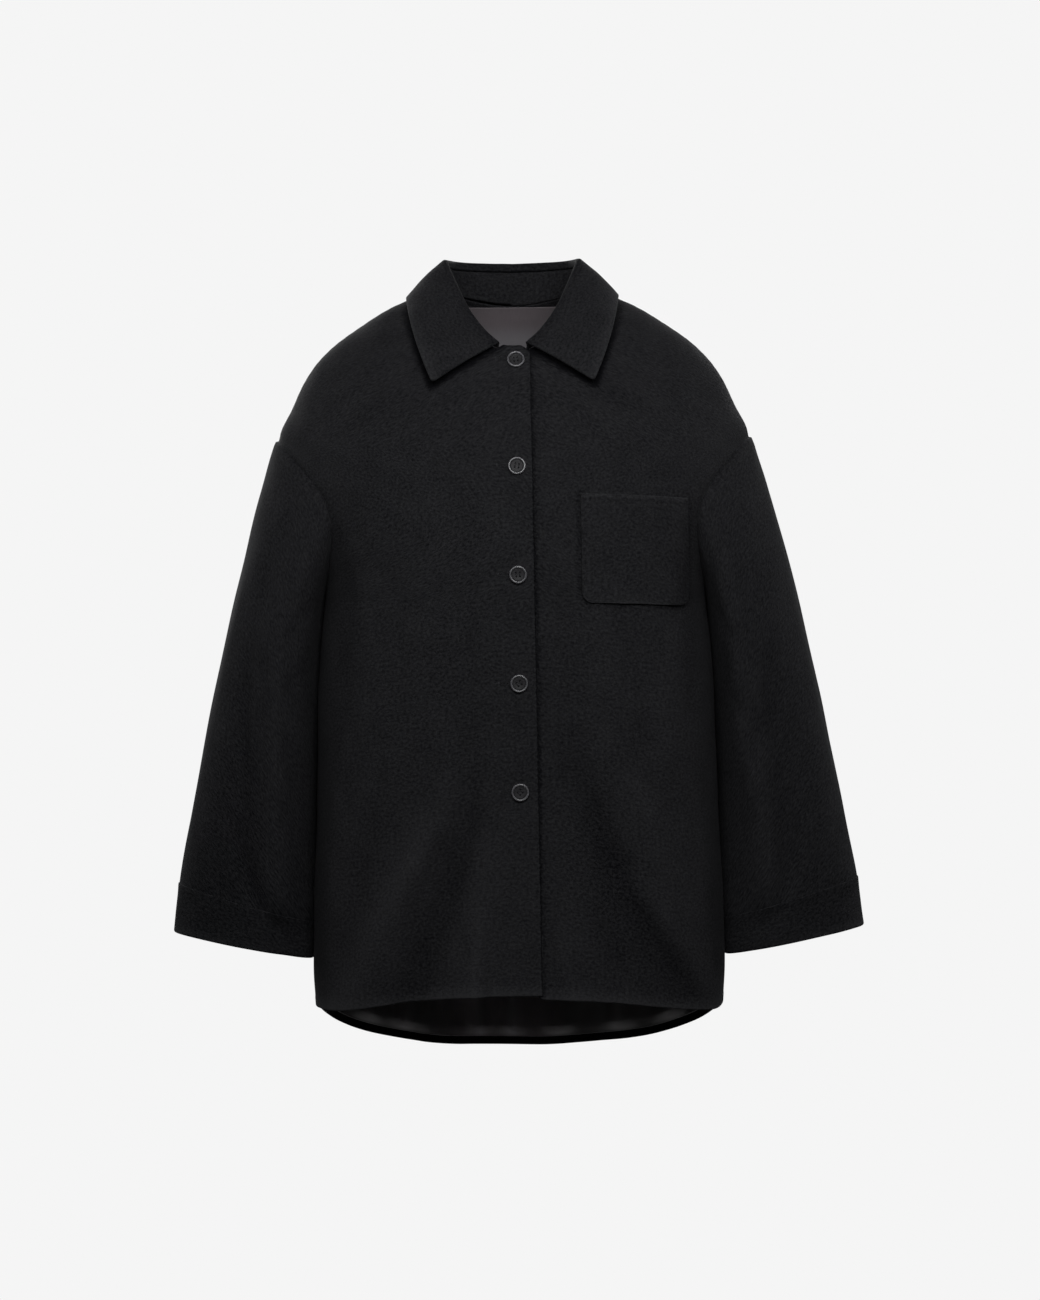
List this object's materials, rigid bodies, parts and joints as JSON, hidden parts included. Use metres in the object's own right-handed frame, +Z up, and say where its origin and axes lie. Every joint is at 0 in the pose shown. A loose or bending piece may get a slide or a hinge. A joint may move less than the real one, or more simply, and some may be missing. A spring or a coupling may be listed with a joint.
{
  "type": "wool jacket, filled out with no wearer",
  "caption": "Boxy wool shirt jacket with a turned-down collar, buttoned front, chest pocket, drop shoulders, wide turned-back cuffs and a curved, longer back.",
  "frame": {"origin": "where the wearer's shoulders hold the jacket: on the centre line, level with the points where the shoulder seams meet the collar, midway between the front and the back there", "axes": "+Z up, -Y to the front of the jacket, +X to the wearer's left, which is the viewer's right"},
  "size_m": [0.7212, 0.2956, 0.8435],
  "materials": {
    "wool": "matte brushed wool cloth, short nap",
    "lining": "smooth satin lining",
    "button": "polished dark horn look"
  },
  "bodies": {
    "root": {"front_left": "wool", "front_right": "wool", "back": "wool", "back_lining": "lining", "sleeve_left": "wool", "sleeve_right": "wool", "cuff_left": "wool", "cuff_right": "wool", "collar_stand": "wool", "collar_fall": "wool", "pocket": "wool", "button_1": "button", "button_2": "button", "button_3": "button", "button_4": "button", "button_5": "button"}
  },
  "joints": []
}
